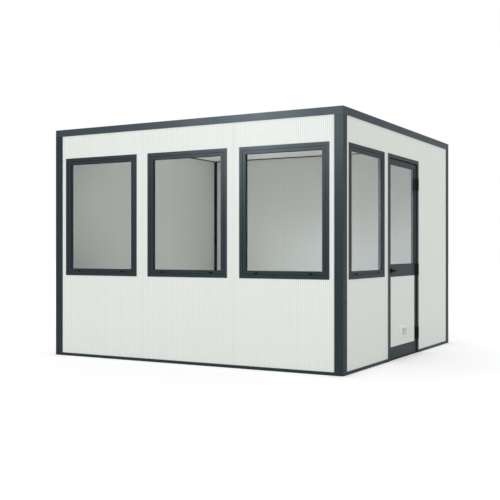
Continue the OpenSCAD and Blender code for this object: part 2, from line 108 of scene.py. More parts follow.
@dataclass(frozen=True)
class WallPlane:
    """A wall's own axes: s along it from its left end seen from outside, u inwards, z up."""

    wall: Wall
    corner: Vector
    length: float

    @property
    def turn(self) -> float:
        """Turn about the vertical from the front wall's axes."""
        return self.wall.value * math.pi / 2

    @property
    def along(self) -> Vector:
        """Direction along the wall."""
        return Vector((round(math.cos(self.turn)), round(math.sin(self.turn)), 0))

    @property
    def inward(self) -> Vector:
        """Direction into the room."""
        return Vector((-self.along.y, self.along.x, 0))

    @property
    def face(self) -> float:
        """Depth of the wall panels' outer face."""
        panels = ("front_middle_panel", "right_rear_panel", "back_middle_panel", "left_middle_panel")
        return self.depths(node_box(panels[self.wall.value]))[0]

    def point(self, s: float, u: float, z: float) -> Vector:
        """The place at a distance along the wall, a depth and a height."""
        return self.corner + self.along * s + self.inward * u + Vector((0, 0, z))

    def span(self, box: Box) -> Span:
        """The rectangle that a box covers on this wall."""
        ends = sorted((corner - self.corner).dot(self.along) for corner in (box.low, box.high))
        return Span(ends[0], ends[1], box.low.z, box.high.z)

    def depths(self, box: Box) -> tuple[float, float]:
        """The outer and inner depth of a box."""
        outer, inner = sorted((corner - self.corner).dot(self.inward) for corner in (box.low, box.high))
        return outer, inner

    def corners(self, span: Span, depth: float) -> list[Vector]:
        """The four corners of a rectangle at a depth."""
        places = ((span.s0, span.z0), (span.s1, span.z0), (span.s1, span.z1), (span.s0, span.z1))
        return [self.point(s, depth, z) for s, z in places]

    def solids(self, name: str, reach: float = 0.2) -> Iterator[Box]:
        """Finds the solids of a CAD node that lie in this wall.

        Args:
            name: The node's name.
            reach: How deep the wall's zone is.

        Yields:
            The box of each solid that is wholly within the zone.
        """
        for box in solid_boxes(name):
            outer, inner = self.depths(box)
            if outer > -reach and inner < reach:
                yield box


def node_box(*names: str) -> Box:
    """The box round one or more CAD nodes."""
    return Box.around([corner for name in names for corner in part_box(name)])


def solid_boxes(name: str) -> list[Box]:
    """Finds the separate solids of a CAD node.

    Args:
        name: The node's name.

    Returns:
        One box for each solid, in a fixed order.
    """
    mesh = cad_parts[name].data
    places = [tuple(round(value, 6) for value in vertex.co) for vertex in mesh.vertices]
    joined: dict[Point, set[Point]] = {}
    for polygon in mesh.polygons:
        corners = {places[index] for index in polygon.vertices}
        for corner in corners:
            joined.setdefault(corner, set()).update(corners)
    boxes: list[Box] = []
    while joined:
        solid: set[Point] = set()
        found = {next(iter(joined))}
        while found:
            solid |= found
            found = set().union(*(joined.pop(place) for place in found)) - solid
        boxes.append(Box.around(solid))
    return sorted(boxes, key=lambda box: tuple(box.middle))


def wall_planes() -> list[WallPlane]:
    """Works out the walls from the corner posts' outer faces.

    Returns:
        The four walls, in the order of their quarter turns.
    """
    plan = node_box("front_left_post", "back_right_post")
    low, high = plan.low, plan.high
    width, depth = high.x - low.x, high.y - low.y
    return [
        WallPlane(Wall.FRONT, Vector((low.x, low.y, 0)), width),
        WallPlane(Wall.RIGHT, Vector((high.x, low.y, 0)), depth),
        WallPlane(Wall.BACK, Vector((high.x, high.y, 0)), width),
        WallPlane(Wall.LEFT, Vector((low.x, high.y, 0)), depth),
    ]


WALLS = wall_planes()
FRONT_WALL = WALLS[Wall.FRONT.value]
DOOR_WALL = WALLS[Wall.RIGHT.value]


def post_leg() -> float:
    """Length of a corner post's legs along each wall."""
    box = node_box("front_left_post")
    return box.high.x - box.low.x


def linear(srgb: Srgb) -> tuple[float, float, float, float]:
    """Turns a colour as seen on screen into the shader's values.

    Args:
        srgb: Red, green and blue from 0 to 255.

    Returns:
        Linear red, green and blue, and full cover.
    """
    parts = (value / 255 for value in srgb)
    red, green, blue = (v / 12.92 if v <= 0.04045 else ((v + 0.055) / 1.055) ** 2.4 for v in parts)
    return red, green, blue, 1.0


class NodeSheet:
    """A node tree with short calls to add and join nodes."""

    def __init__(self, tree: bpy.types.NodeTree) -> None:
        """Keeps the tree that nodes go into."""
        self.tree = tree

    def add(self, kind: str, values: Values | None = None, **settings: object) -> bpy.types.Node:
        """Adds a node.

        Args:
            kind: Blender's name for the node's type.
            values: Values for its input sockets, or sockets to join to them, by name or index.
            settings: Values for the node's own settings.

        Returns:
            The new node.
        """
        node = self.tree.nodes.new(kind)
        for name, value in settings.items():
            setattr(node, name, value)
        for socket, value in (values or {}).items():
            self.put(node.inputs[socket], value)
        return node

    def out(self, kind: str, values: Values | None = None, **settings: object) -> Socket:
        """The first output of a node that is added in the same way."""
        return self.add(kind, values, **settings).outputs[0]

    def put(self, socket: Socket, value: object) -> None:
        """Joins a socket to an output, or sets its value.

        Args:
            socket: An input socket.
            value: The output to join to it, or its value.
        """
        if isinstance(value, Socket):
            self.tree.links.new(value, socket)
        else:
            socket.default_value = value

    def effect(self, group: "ShaderGroup", values: Values) -> bpy.types.bpy_prop_collection:
        """The outputs of a shared effect that is given some values or sockets."""
        return self.add("ShaderNodeGroup", values, node_tree=group.tree()).outputs

    def maths(self, operation: str, *values: object) -> Socket:
        """The result of a Math node on values or sockets."""
        return self.out("ShaderNodeMath", dict(enumerate(values)), operation=operation)

    def xyz(self, x: object = 0.0, y: object = 0.0, z: object = 0.0) -> Socket:
        """A vector from three values or sockets."""
        return self.out("ShaderNodeCombineXYZ", {0: x, 1: y, 2: z})

    def place(self) -> Socket:
        """The place on the object."""
        return self.add("ShaderNodeTexCoord").outputs["Object"]


class ShaderGroup(Enum):
    """Effects that several finishes share."""

    SOILING = "soiling"
    RUNOFF = "runoff"
    RELIEF = "relief"

    def tree(self) -> bpy.types.NodeTree:
        """The effect's node group, built the first time it is asked for.

        Returns:
            The group.
        """
        found = bpy.data.node_groups.get(self.value)
        if found:
            return found
        tree = bpy.data.node_groups.new(self.value, "ShaderNodeTree")
        builders = {
            ShaderGroup.SOILING: self._soiling,
            ShaderGroup.RUNOFF: self._runoff,
            ShaderGroup.RELIEF: self._relief,
        }
        builders[self](NodeSheet(tree))
        return tree

    @staticmethod
    def _given(sheet: NodeSheet, inputs: Values, outputs: Values) -> bpy.types.bpy_prop_collection:
        """Gives a group its sockets.

        Args:
            sheet: The group's nodes.
            inputs: The type of each input, by name.
            outputs: The type of each output, by name.

        Returns:
            The sockets that hand the inputs on, by name.
        """
        for direction, sockets in (("INPUT", inputs), ("OUTPUT", outputs)):
            for name, kind in sockets.items():
                sheet.tree.interface.new_socket(name, in_out=direction, socket_type=f"NodeSocket{kind}")
        return sheet.add("NodeGroupInput").outputs

    def _soiling(self, sheet: NodeSheet) -> None:
        """Soft patches in which a colour is a little darker and a surface a little rougher.

        Args:
            sheet: The group's nodes.
        """
        inputs = {"Color": "Color", "Amount": "Float", "Scale": "Float", "Roughness": "Float"}
        given = self._given(sheet, inputs, {"Color": "Color", "Roughness": "Float"})
        noise = sheet.out(
            "ShaderNodeTexNoise",
            {"Vector": sheet.place(), "Scale": given["Scale"], "Detail": 5.0, "Roughness": 0.6},
        )
        patch = sheet.out("ShaderNodeMapRange", {"Value": noise, "From Min": 0.35, "From Max": 0.7})
        share = sheet.maths("MULTIPLY", patch, given["Amount"])
        shade = sheet.maths("SUBTRACT", 1.0, share)
        color = sheet.out("ShaderNodeVectorMath", {0: given["Color"], 3: shade}, operation="SCALE")
        rough = sheet.maths("ADD", given["Roughness"], share)
        sheet.add("NodeGroupOutput", {"Color": color, "Roughness": rough})

    def _runoff(self, sheet: NodeSheet) -> None:
        """Faint upright streaks, and a little dust towards the ground.

        Args:
            sheet: The group's nodes.
        """
        inputs = {"Color": "Color", "Amount": "Float", "Dust": "Color"}
        given = self._given(sheet, inputs, {"Color": "Color"})
        place = sheet.place()
        stretched = sheet.out("ShaderNodeMapping", {"Vector": place, "Scale": (9.0, 9.0, 0.35)})
        noise = sheet.out("ShaderNodeTexNoise", {"Vector": stretched, "Scale": 1.0, "Detail": 3.0})
        streak = sheet.out("ShaderNodeMapRange", {"Value": noise, "From Min": 0.45, "From Max": 0.8})
        height = sheet.add("ShaderNodeSeparateXYZ", {0: place}).outputs["Z"]
        low = sheet.out("ShaderNodeMapRange", {"Value": height, "From Min": 0.45, "From Max": 0.0})
        share = sheet.maths("MULTIPLY", sheet.maths("ADD", streak, low), given["Amount"])
        mixed = sheet.add(
            "ShaderNodeMix", {"Factor": share, 6: given["Color"], 7: given["Dust"]}, data_type="RGBA"
        ).outputs[2]
        sheet.add("NodeGroupOutput", {"Color": mixed})

    def _relief(self, sheet: NodeSheet) -> None:
        """The fine peel of sprayed paint or the grain of a moulded surface.

        Args:
            sheet: The group's nodes.
        """
        given = self._given(sheet, {"Scale": "Float"}, {"Height": "Float"})
        grain = {"Vector": sheet.place(), "Scale": given["Scale"], "Detail": 2.0}
        sheet.add("NodeGroupOutput", {"Height": sheet.out("ShaderNodeTexNoise", grain)})


def blank_material(name: str) -> tuple[bpy.types.Material, NodeSheet]:
    """Adds a material that has no nodes yet.

    Args:
        name: The material's name.

    Returns:
        The material and its nodes.
    """
    material = bpy.data.materials.new(name)
    material.use_nodes = True
    material.node_tree.nodes.clear()
    return material, NodeSheet(material.node_tree)


@dataclass(frozen=True)
class Finish:
    """An opaque finish: its colour in even daylight, its gloss and its small unevenness."""

    name: str
    slot: str
    srgb: Srgb
    roughness: float
    specular: float = 0.5
    soiling: float = 0.06
    soiling_scale: float = 1.7
    runoff: float = 0.0
    dust: Srgb = (150, 146, 138)
    relief: float = 0.0
    relief_scale: float = 700.0

    def material(self) -> bpy.types.Material:
        """The finish as a material, built the first time it is asked for.

        Returns:
            The material.
        """
        found = bpy.data.materials.get(self.name)
        if found:
            return found
        material, sheet = blank_material(self.name)
        sheet.add("ShaderNodeOutputMaterial", {"Surface": self.shader(sheet)})
        return material

    def shader(self, sheet: NodeSheet) -> Socket:
        """Adds the finish's shader.

        Args:
            sheet: The material's nodes.

        Returns:
            The socket that gives the shader.
        """
        color, rough = self.color_and_roughness(sheet)
        coat: Values = {"Base Color": color, "Roughness": rough, "Specular IOR Level": self.specular}
        if self.relief:
            height = sheet.effect(ShaderGroup.RELIEF, {"Scale": self.relief_scale})["Height"]
            bump = {"Height": height, "Strength": 1.0, "Distance": self.relief}
            coat["Normal"] = sheet.out("ShaderNodeBump", bump)
        return sheet.out("ShaderNodeBsdfPrincipled", coat)

    def color_and_roughness(self, sheet: NodeSheet) -> tuple[Socket, Socket]:
        """Adds the nodes for colour and roughness.

        Args:
            sheet: The material's nodes.

        Returns:
            The sockets that give the colour and the roughness.
        """
        values = {
            "Color": linear(self.srgb), "Amount": self.soiling,
            "Scale": self.soiling_scale, "Roughness": self.roughness,
        }
        soiled = sheet.effect(ShaderGroup.SOILING, values)
        color = soiled["Color"]
        if self.runoff:
            values = {"Color": color, "Amount": self.runoff, "Dust": linear(self.dust)}
            color = sheet.effect(ShaderGroup.RUNOFF, values)["Color"]
        return color, soiled["Roughness"]

    def dress(self, *nodes: str) -> None:
        """Gives CAD nodes this finish.

        Args:
            nodes: The nodes' names.
        """
        for name in nodes:
            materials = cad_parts[name].data.materials
            materials.clear()
            materials.append(self.material())
            LOG.info("%s has finish %s", name, self.name)


@dataclass(frozen=True)
class VinylFinish(Finish):
    """Floor covering with fine light and dark chips."""

    chip_scale: float = 260.0
    chip_depth: float = 0.16

    def color_and_roughness(self, sheet: NodeSheet) -> tuple[Socket, Socket]:
        """Adds the nodes for the chipped colour and for the roughness.

        Args:
            sheet: The material's nodes.

        Returns:
            The sockets that give the colour and the roughness.
        """
        color, rough = super().color_and_roughness(sheet)
        chips = {"Vector": sheet.place(), "Scale": self.chip_scale}
        cells = sheet.add("ShaderNodeTexVoronoi", chips).outputs["Color"]
        light = sheet.out("ShaderNodeSeparateColor", {0: cells})
        shade = sheet.out(
            "ShaderNodeMapRange",
            {"Value": light, "To Min": 1 - self.chip_depth, "To Max": 1 + self.chip_depth},
        )
        return sheet.out("ShaderNodeVectorMath", {0: color, 3: shade}, operation="SCALE"), rough


@dataclass(frozen=True)
class GlassFinish(Finish):
    """Clear glass that lets the lamps' light through into the room."""

    ior: float = 1.5

    def shader(self, sheet: NodeSheet) -> Socket:
        """Adds the glass, which is plainly clear to light on its way from a lamp.

        Args:
            sheet: The material's nodes.

        Returns:
            The socket that gives the shader.
        """
        color, _ = self.color_and_roughness(sheet)
        pane = sheet.out(
            "ShaderNodeBsdfPrincipled",
            {"Base Color": color, "Roughness": self.roughness, "IOR": self.ior, "Transmission Weight": 1.0},
        )
        clear = sheet.out("ShaderNodeBsdfTransparent", {"Color": linear(self.srgb)})
        shadow = sheet.add("ShaderNodeLightPath").outputs["Is Shadow Ray"]
        return sheet.out("ShaderNodeMixShader", {0: shadow, 1: pane, 2: clear})


FRAME_PAINT = Finish(
    "anthracite powder coat", "frame_paint", (48, 58, 63), 0.27, specular=0.07,
    soiling=0.05, relief=0.00006, relief_scale=900.0,
)
# The fascia's coat is the frames' anthracite made lighter: a painted sheen.
FASCIA_SHEEN_PAINT = Finish(
    "anthracite with painted fascia sheen", "frame_paint", (63, 73, 80), 0.3, specular=0.08,
    soiling=0.05, relief=0.00006, relief_scale=900.0,
)
LINING_PAINT = Finish(
    "mid-grey window lining", "frame_paint", (92, 100, 104), 0.4, specular=0.1,
    relief=0.00006, relief_scale=900.0,
)
WALL_SHEET = Finish(
    "white coated wall sheet", "wall_sheet", (226, 229, 224), 0.45, specular=0.3,
    soiling=0.02, soiling_scale=0.9, runoff=0.025,
)
# The ribs are the same white sheet as the wall, painted lighter than the sheet between them: a painted
# highlight on the ribs.
RIB_HIGHLIGHT_SHEET = Finish(
    "white rib sheet with painted highlight", "wall_sheet", (238, 241, 236), 0.42, specular=0.3,
    soiling=0.015, soiling_scale=0.9, runoff=0.02,
)
DOOR_SHEET = Finish(
    "white coated door sheet", "wall_sheet", (232, 237, 232), 0.44, specular=0.3,
    soiling=0.02, soiling_scale=0.9, runoff=0.02,
)
ROOF_SHEET = Finish(
    "matt white roof sheet", "roof_sheet", (243, 244, 242), 0.8, specular=0.0,
    soiling=0.06, soiling_scale=1.2,
)
DECK = VinylFinish(
    "chipped vinyl floor", "deck", (168, 170, 168), 0.55, specular=0.3, soiling=0.05,
)
# The room's trims are anthracite painted near-black: painted shade inside the room.
SHADE_DARKENED_TRIM = Finish(
    "inner trim darkened as painted shade", "inner_trim", (30, 31, 29), 0.5, specular=0.15, relief=0.00005,
)
GLAZING = GlassFinish(
    "clear glass", "glazing", (252, 252, 252), 0.0, soiling=0.01, ior=1.17,
)
FITTINGS = Finish(
    "satin black fittings", "fittings", (13, 14, 15), 0.45, specular=0.2,
    relief=0.00003, relief_scale=1500.0,
)
HINGE_COAT = Finish(
    "dark hinge coat", "fittings", (24, 29, 33), 0.45, specular=0.1,
    relief=0.00003, relief_scale=1500.0,
)
DRAIN_PLASTIC = Finish(
    "matt black drain plastic", "fittings", (12, 13, 14), 0.7, specular=0.04,
)
VENT_PLASTIC = Finish(
    "white vent plastic", "vent_plastic", (244, 246, 243), 0.5, specular=0.35,
    soiling=0.02, relief=0.00004, relief_scale=1200.0,
)
RUBBER = Finish(
    "dark seal rubber", "fittings", (42, 45, 47), 0.75, specular=0.2,
    soiling=0.1, soiling_scale=6.0,
)
SEALANT = Finish(
    "pale joint sealant", "wall_sheet", (208, 210, 207), 0.6, specular=0.25,
    soiling=0.04, soiling_scale=8.0,
)
SCREEN_WIRE = Finish(
    "grey screen wire", "fittings", (112, 114, 112), 0.5, specular=0.4,
    soiling=0.08, soiling_scale=20.0,
)


def add_piece(name: str, mesh: bpy.types.Mesh, finish: Finish, body: Body) -> None:
    """Adds a finished piece to the part.

    Args:
        name: The piece's name.
        mesh: Its mesh, in place.
        finish: Its finish.
        body: The body that carries it.
    """
    mesh.name = name
    mesh.materials.clear()
    mesh.materials.append(finish.material())
    piece = bpy.data.objects.new(name, mesh)
    bpy.context.scene.collection.objects.link(piece)
    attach(piece, body.value)
    LOG.info("%s: %d faces on %s", name, len(mesh.polygons), body.value)


class MeshSketch:
    """Collects points and faces of one mesh."""

    def __init__(self) -> None:
        """Starts empty."""
        self.points: list[Vector] = []
        self.faces: list[tuple[int, ...]] = []

    def rings(self, rings: Sequence[Sequence[Vector]], closed: bool) -> None:
        """Joins rings of points into a tube.

        Args:
            rings: Rings with equal numbers of points.
            closed: Whether the last ring joins the first, or both ends get a face.
        """
        start, count, size = len(self.points), len(rings), len(rings[0])
        for ring in rings:
            self.points.extend(ring)
        for j in range(count if closed else count - 1):
            for i in range(size):
                here, there = start + j * size, start + (j + 1) % count * size
                after = (i + 1) % size
                self.faces.append((here + i, here + after, there + after, there + i))
        if not closed:
            last = start + (count - 1) * size
            self.faces.append(tuple(range(start + size - 1, start - 1, -1)))
            self.faces.append(tuple(range(last, last + size)))

    def border(self, plane: WallPlane, span: Span, profile: Profile, closed: bool = True) -> None:
        """Draws a profile round a rectangle with mitred corners, or only up its sides and over its top.

        Args:
            plane: The wall that the rectangle is on.
            span: The rectangle.
            profile: Points of the profile, as distance inwards from the rectangle and depth.
            closed: Whether the profile runs along the bottom too.
        """
        foot = 1 if closed else 0
        corners = (
            (span.s0, span.z0, 1, foot), (span.s0, span.z1, 1, -1),
            (span.s1, span.z1, -1, -1), (span.s1, span.z0, -1, foot),
        )
        rings = [
            [plane.point(s + ds * inset, depth, z + dz * inset) for inset, depth in profile]
            for s, z, ds, dz in corners
        ]
        self.rings(rings, closed)

    def add(self, name: str, finish: Finish, body: Body) -> None:
        """Adds the drawing to the part, with its faces turned outwards.

        Args:
            name: The piece's name.
            finish: Its finish.
            body: The body that carries it.
        """
        mesh = bpy.data.meshes.new(name)
        mesh.from_pydata(self.points, [], self.faces)
        turned = bmesh.new()
        turned.from_mesh(mesh)
        bmesh.ops.recalc_face_normals(turned, faces=turned.faces)
        turned.to_mesh(mesh)
        turned.free()
        add_piece(name, mesh, finish, body)


class GeometryTree:
    """A Geometry Nodes tree with named inputs that turns points into a plain mesh."""

    def __init__(self, name: str, sizes: Iterable[str]) -> None:
        """Starts the tree.

        Args:
            name: The tree's name.
            sizes: The names of its inputs, each a number.
        """
        self.tree = bpy.data.node_groups.new(name, "GeometryNodeTree")
        self.sheet = NodeSheet(self.tree)
        self.socket("Geometry", "Geometry", "OUTPUT")
        self.socket("Points", "Geometry")
        self.identifiers = {size: self.socket(size, "Float") for size in sizes}
        self.identifiers["Finish"] = self.socket("Finish", "Material")
        self.given = self.sheet.add("NodeGroupInput").outputs

    def socket(self, name: str, kind: str, direction: str = "INPUT") -> str:
        """Gives the tree a socket, and returns its identifier."""
        made = self.tree.interface.new_socket(name, in_out=direction, socket_type=f"NodeSocket{kind}")
        return made.identifier

    def carried(self, name: str, kind: str = "FLOAT") -> Socket:
        """A value that each point carries."""
        return self.sheet.out("GeometryNodeInputNamedAttribute", {"Name": name}, data_type=kind)

    def facing(self) -> Socket:
        """The turn that points a shape's own Z where its point says."""
        way = self.carried("facing", "FLOAT_VECTOR")
        return self.sheet.out("FunctionNodeAlignRotationToVector", {"Vector": way}, axis="Z")

    def close(self, instance: Socket, rotation: Socket, scale: object) -> None:
        """Puts a shape on every point and ends the tree.

        Args:
            instance: The shape.
            rotation: The shape's turn at each point.
            scale: The shape's scale at each point.
        """
        placed = self.sheet.out(
            "GeometryNodeInstanceOnPoints",
            {"Points": self.given["Points"], "Instance": instance, "Rotation": rotation, "Scale": scale},
        )
        real = self.sheet.out("GeometryNodeRealizeInstances", {0: placed})
        finish = {"Geometry": real, "Material": self.given["Finish"]}
        self.sheet.add("NodeGroupOutput", {0: self.sheet.out("GeometryNodeSetMaterial", finish)})

    def run(
        self, points: Sequence[Vector], carried: dict[str, Sequence], sizes: dict[str, float], finish: Finish
    ) -> bpy.types.Mesh:
        """Runs the tree on points.

        Args:
            points: Where the shapes go.
            carried: What each point carries, by attribute name: numbers or directions.
            sizes: The tree's inputs.
            finish: The finish of the result.

        Returns:
            A plain mesh.
        """
        seeds = bpy.data.meshes.new(self.tree.name)
        seeds.from_pydata(points, [], [])
        for name, values in carried.items():
            if isinstance(values[0], Vector):
                layer = seeds.attributes.new(name, "FLOAT_VECTOR", "POINT")
                layer.data.foreach_set("vector", [part for value in values for part in value])
            else:
                layer = seeds.attributes.new(name, "FLOAT", "POINT")
                layer.data.foreach_set("value", values)
        carrier = bpy.data.objects.new(self.tree.name, seeds)
        bpy.context.scene.collection.objects.link(carrier)
        modifier = carrier.modifiers.new(self.tree.name, "NODES")
        modifier.node_group = self.tree
        for name, value in sizes.items():
            modifier[self.identifiers[name]] = value
        modifier[self.identifiers["Finish"]] = finish.material()
        depsgraph = bpy.context.evaluated_depsgraph_get()
        mesh = bpy.data.meshes.new_from_object(carrier.evaluated_get(depsgraph), depsgraph=depsgraph)
        carrier.modifiers.remove(modifier)
        bpy.data.objects.remove(carrier)
        return mesh


def rib_tree() -> GeometryTree:
    """Builds the tree for flat ribs with sloped flanks, each as long as its point says.

    Returns:
        The tree, whose points carry rib_length and wall_turn.
    """
    tree = GeometryTree("wall_ribs", ("Width", "Crown", "Height", "Sink"))
    sheet, given = tree.sheet, tree.given
    deep = sheet.maths("ADD", given["Height"], given["Sink"])
    bar = sheet.out("GeometryNodeMeshCube", {"Size": sheet.xyz(given["Width"], deep, 1.0)})
    place = sheet.add("ShaderNodeSeparateXYZ", {0: sheet.out("GeometryNodeInputPosition")}).outputs
    flank = sheet.maths("DIVIDE", sheet.maths("SUBTRACT", given["Crown"], given["Width"]), 2.0)
    shift = sheet.maths("MULTIPLY", sheet.maths("SIGN", place["X"]), flank)
    outer = sheet.out(
        "FunctionNodeCompare", {0: place["Y"], 1: 0.0}, data_type="FLOAT", operation="LESS_THAN"
    )
    tapered = sheet.out(
        "GeometryNodeSetPosition", {"Geometry": bar, "Selection": outer, "Offset": sheet.xyz(shift)}
    )
    back = sheet.maths("SUBTRACT", given["Sink"], sheet.maths("DIVIDE", deep, 2.0))
    seat = sheet.xyz(0.0, back, 0.5)
    rib = sheet.out("GeometryNodeTransform", {"Geometry": tapered, "Translation": seat})
    turn = sheet.xyz(0.0, 0.0, tree.carried("wall_turn"))
    tree.close(rib, turn, sheet.xyz(1.0, 1.0, tree.carried("rib_length")))
    return tree


def screw_tree(sides: int = 12, rim: float = 0.72, drive: float = 0.6) -> GeometryTree:
    """Builds the tree for screw heads with a recess, each facing where its point says.

    Args:
        sides: The number of sides of a head.
        rim: The share of a head's radius at its top.
        drive: The share of the top that the recess takes.

    Returns:
        The tree, whose points carry facing.
    """
    tree = GeometryTree("screw_heads", ("Radius", "Height", "Recess"))
    sheet, given = tree.sheet, tree.given
    head = sheet.add(
        "GeometryNodeMeshCone",
        {
            "Vertices": sides,
            "Radius Top": sheet.maths("MULTIPLY", given["Radius"], rim),
            "Radius Bottom": given["Radius"],
            "Depth": given["Height"],
        },
        fill_type="NGON",
    ).outputs
    lid = sheet.add(
        "GeometryNodeExtrudeMesh",
        {"Mesh": head["Mesh"], "Selection": head["Top"], "Offset Scale": 0.0},
        mode="FACES",
    ).outputs
    small = sheet.out(
        "GeometryNodeScaleElements",
        {"Geometry": lid["Mesh"], "Selection": lid["Top"], "Scale": drive},
        domain="FACE",
    )
    depth = sheet.maths("MULTIPLY", given["Recess"], -1.0)
    sunk = sheet.add(
        "GeometryNodeExtrudeMesh",
        {"Mesh": small, "Selection": lid["Top"], "Offset Scale": depth},
        mode="FACES",
    ).outputs["Mesh"]
    tree.close(sunk, tree.facing(), (1.0, 1.0, 1.0))
    return tree


def wire_tree(sides: int = 6) -> GeometryTree:
    """Builds the tree for thin round wires, each as long and turned as its point says.

    Args:
        sides: The number of sides of a wire.

    Returns:
        The tree, whose points are the wires' middles and carry facing and wire_length.
    """
    tree = GeometryTree("wires", ("Radius",))
    sheet = tree.sheet
    rod = sheet.add(
        "GeometryNodeMeshCylinder",
        {"Vertices": sides, "Radius": tree.given["Radius"], "Depth": 1.0},
        fill_type="NGON",
    ).outputs["Mesh"]
    tree.close(rod, tree.facing(), sheet.xyz(1.0, 1.0, tree.carried("wire_length")))
    return tree


def add_wires(name: str, ends: Sequence[Pair], radius: float, finish: Finish, body: Body) -> None:
    """Adds a piece of wires between pairs of points.

    Args:
        name: The piece's name.
        ends: Both ends of each wire.
        radius: The wires' radius.
        finish: Their finish.
        body: The body that carries them.
    """
    carried = {
        "facing": [(end - start).normalized() for start, end in ends],
        "wire_length": [(end - start).length for start, end in ends],
    }
    middles = [(start + end) / 2 for start, end in ends]
    add_piece(name, wire_tree().run(middles, carried, {"Radius": radius}, finish), finish, body)


@dataclass(frozen=True)
class GlassSeal:
    """The rubber that holds a pane in its bars, outside and inside."""

    hold: float = 10 * MM
    width: float = 2.5 * MM
    rise: float = 2.5 * MM
    section: Profile = ((0.0, 0.0), (1.0, 0.0), (1.0, 0.25), (0.45, 0.9), (0.0, 1.0))

    def draw(self, sketch: MeshSketch, plane: WallPlane, pane: Box) -> None:
        """Draws the rubber of one pane.

        Args:
            sketch: The mesh to draw in.
            plane: The wall that the pane is in.
            pane: The pane's box.
        """
        opening = plane.span(pane).grown(-self.hold)
        for glass, side in zip(plane.depths(pane), (-1, 1)):
            profile = [(self.width * over, glass + side * self.rise * up) for over, up in self.section]
            sketch.border(plane, opening, profile)


@dataclass(frozen=True)
class SealantBead:
    """The three-sided bead of sealant where a frame meets the wall."""

    size: float = 3 * MM

    def draw(self, sketch: MeshSketch, plane: WallPlane, span: Span, closed: bool = True) -> None:
        """Draws the bead of one frame.

        Args:
            sketch: The mesh to draw in.
            plane: The wall that the frame is in.
            span: The frame's outline.
            closed: Whether the bead runs along the bottom too.
        """
        face = plane.face
        sketch.border(plane, span, ((-self.size, face), (0, face), (0, face - self.size)), closed)


@dataclass
class Shell:
    """Deck, base rails, posts, wall and roof panels, fascia and ceiling trims, with the walls' ribs."""

    ribs_per_panel: int = 51
    rib_width: float = 13 * MM
    rib_crown: float = 9 * MM
    rib_height: float = 2.0 * MM
    rib_sink: float = 0.3 * MM
    rib_clear: float = 1.0 * MM
    shade_cover_clear: float = 2.0 * MM
    sides: tuple[str, ...] = ("front", "right", "back", "left")
    wall_panels: tuple[str, ...] = (
        "front_left", "front_middle", "front_right", "right_window", "right_over_door", "right_rear",
        "back_right", "back_middle", "back_left", "left_rear", "left_middle", "left_front",
    )
    roof_panels: tuple[str, ...] = ("left_roof", "middle_roof", "right_roof")
    posts: tuple[str, ...] = ("front_left_post", "front_right_post", "back_right_post", "back_left_post")

    def build(self) -> None:
        """Dresses the shell and adds the ribs and the near-black covers in the room's corners, which are
        painted shade.
        """
        self.dress()
        self.add_ribs()
        self.add_corner_shade_covers()

    def dress(self) -> None:
        """Gives the shell's CAD nodes their finishes."""
        FRAME_PAINT.dress(*self.posts)
        FRAME_PAINT.dress(*(f"{side}_base_rail" for side in self.sides))
        # The fascia gets the anthracite lightened as a painted sheen.
        FASCIA_SHEEN_PAINT.dress(*(f"{side}_fascia" for side in self.sides))
        WALL_SHEET.dress(*(f"{place}_panel" for place in self.wall_panels))
        ROOF_SHEET.dress(*(f"{place}_panel" for place in self.roof_panels))
        DECK.dress("floor_deck")
        # The ceiling trims are painted near-black as painted shade.
        SHADE_DARKENED_TRIM.dress("ceiling_trims")

    def add_ribs(self) -> None:
        """Adds the ribs of all four walls as one piece, painted lighter than the wall sheet between them as
        a painted highlight.
        """
        points: list[Vector] = []
        lengths: list[float] = []
        turns: list[float] = []
        for plane in WALLS:
            for s, z0, z1 in self.rib_places(plane):
                points.append(plane.point(s, plane.face, z0))
                lengths.append(z1 - z0)
                turns.append(plane.turn)
        sizes = {
            "Width": self.rib_width, "Crown": self.rib_crown,
            "Height": self.rib_height, "Sink": self.rib_sink,
        }
        mesh = rib_tree().run(points, {"rib_length": lengths, "wall_turn": turns}, sizes, RIB_HIGHLIGHT_SHEET)
        add_piece("wall_ribs", mesh, RIB_HIGHLIGHT_SHEET, Body.BOOTH)

    def rib_places(self, plane: WallPlane) -> Iterator[tuple[float, float, float]]:
        """Works out the ribs of a wall, clear of posts and frames.

        Args:
            plane: The wall.

        Yields:
            Each rib's place along the wall, and its lower and upper end.
        """
        panel = node_box("back_middle_panel").high.x - node_box("back_left_panel").high.x
        pitch = panel / self.ribs_per_panel
        bottom = node_box("front_base_rail").high.z
        top = node_box("front_fascia").low.z
        half = self.rib_width / 2 + self.rib_clear
        frames = [plane.span(box) for box in plane.solids("window_frames")]
        if plane is DOOR_WALL:
            frames.append(plane.span(node_box("door_jambs", "door_head")))
        reach = int((plane.length / 2 - post_leg() - half) / pitch)
        for k in range(-reach, reach + 1):
            s = plane.length / 2 + k * pitch
            stretches = [(bottom, top)]
            for span in frames:
                if span.s0 - half < s < span.s1 + half:
                    stretches = [
                        (z0, z1)
                        for low, high in stretches
                        for z0, z1 in ((low, min(high, span.z0)), (max(low, span.z1), high))
                        if z1 - z0 > 2 * self.rib_clear
                    ]
            for z0, z1 in stretches:
                yield s, z0 + self.rib_clear / 2, z1 - self.rib_clear / 2

    def add_corner_shade_covers(self) -> None:
        """Adds a thin near-black angle over the inner legs of each post, as painted shade in the room's
        corners.
        """
        inner = FRONT_WALL.depths(node_box("front_base_rail"))[1]
        over, end = inner + SHADE_COVER_THICKNESS, post_leg()
        outline = ((inner, inner), (end, inner), (end, over), (over, over), (over, end), (inner, end))
        bottom = node_box("floor_deck").high.z + self.shade_cover_clear
        top = node_box("ceiling_trims").high.z - self.shade_cover_clear
        sketch = MeshSketch()
        for plane in WALLS:
            sketch.rings([[plane.point(s, u, z) for s, u in outline] for z in (bottom, top)], closed=False)
        sketch.add("corner_shade_covers", SHADE_DARKENED_TRIM, Body.BOOTH)


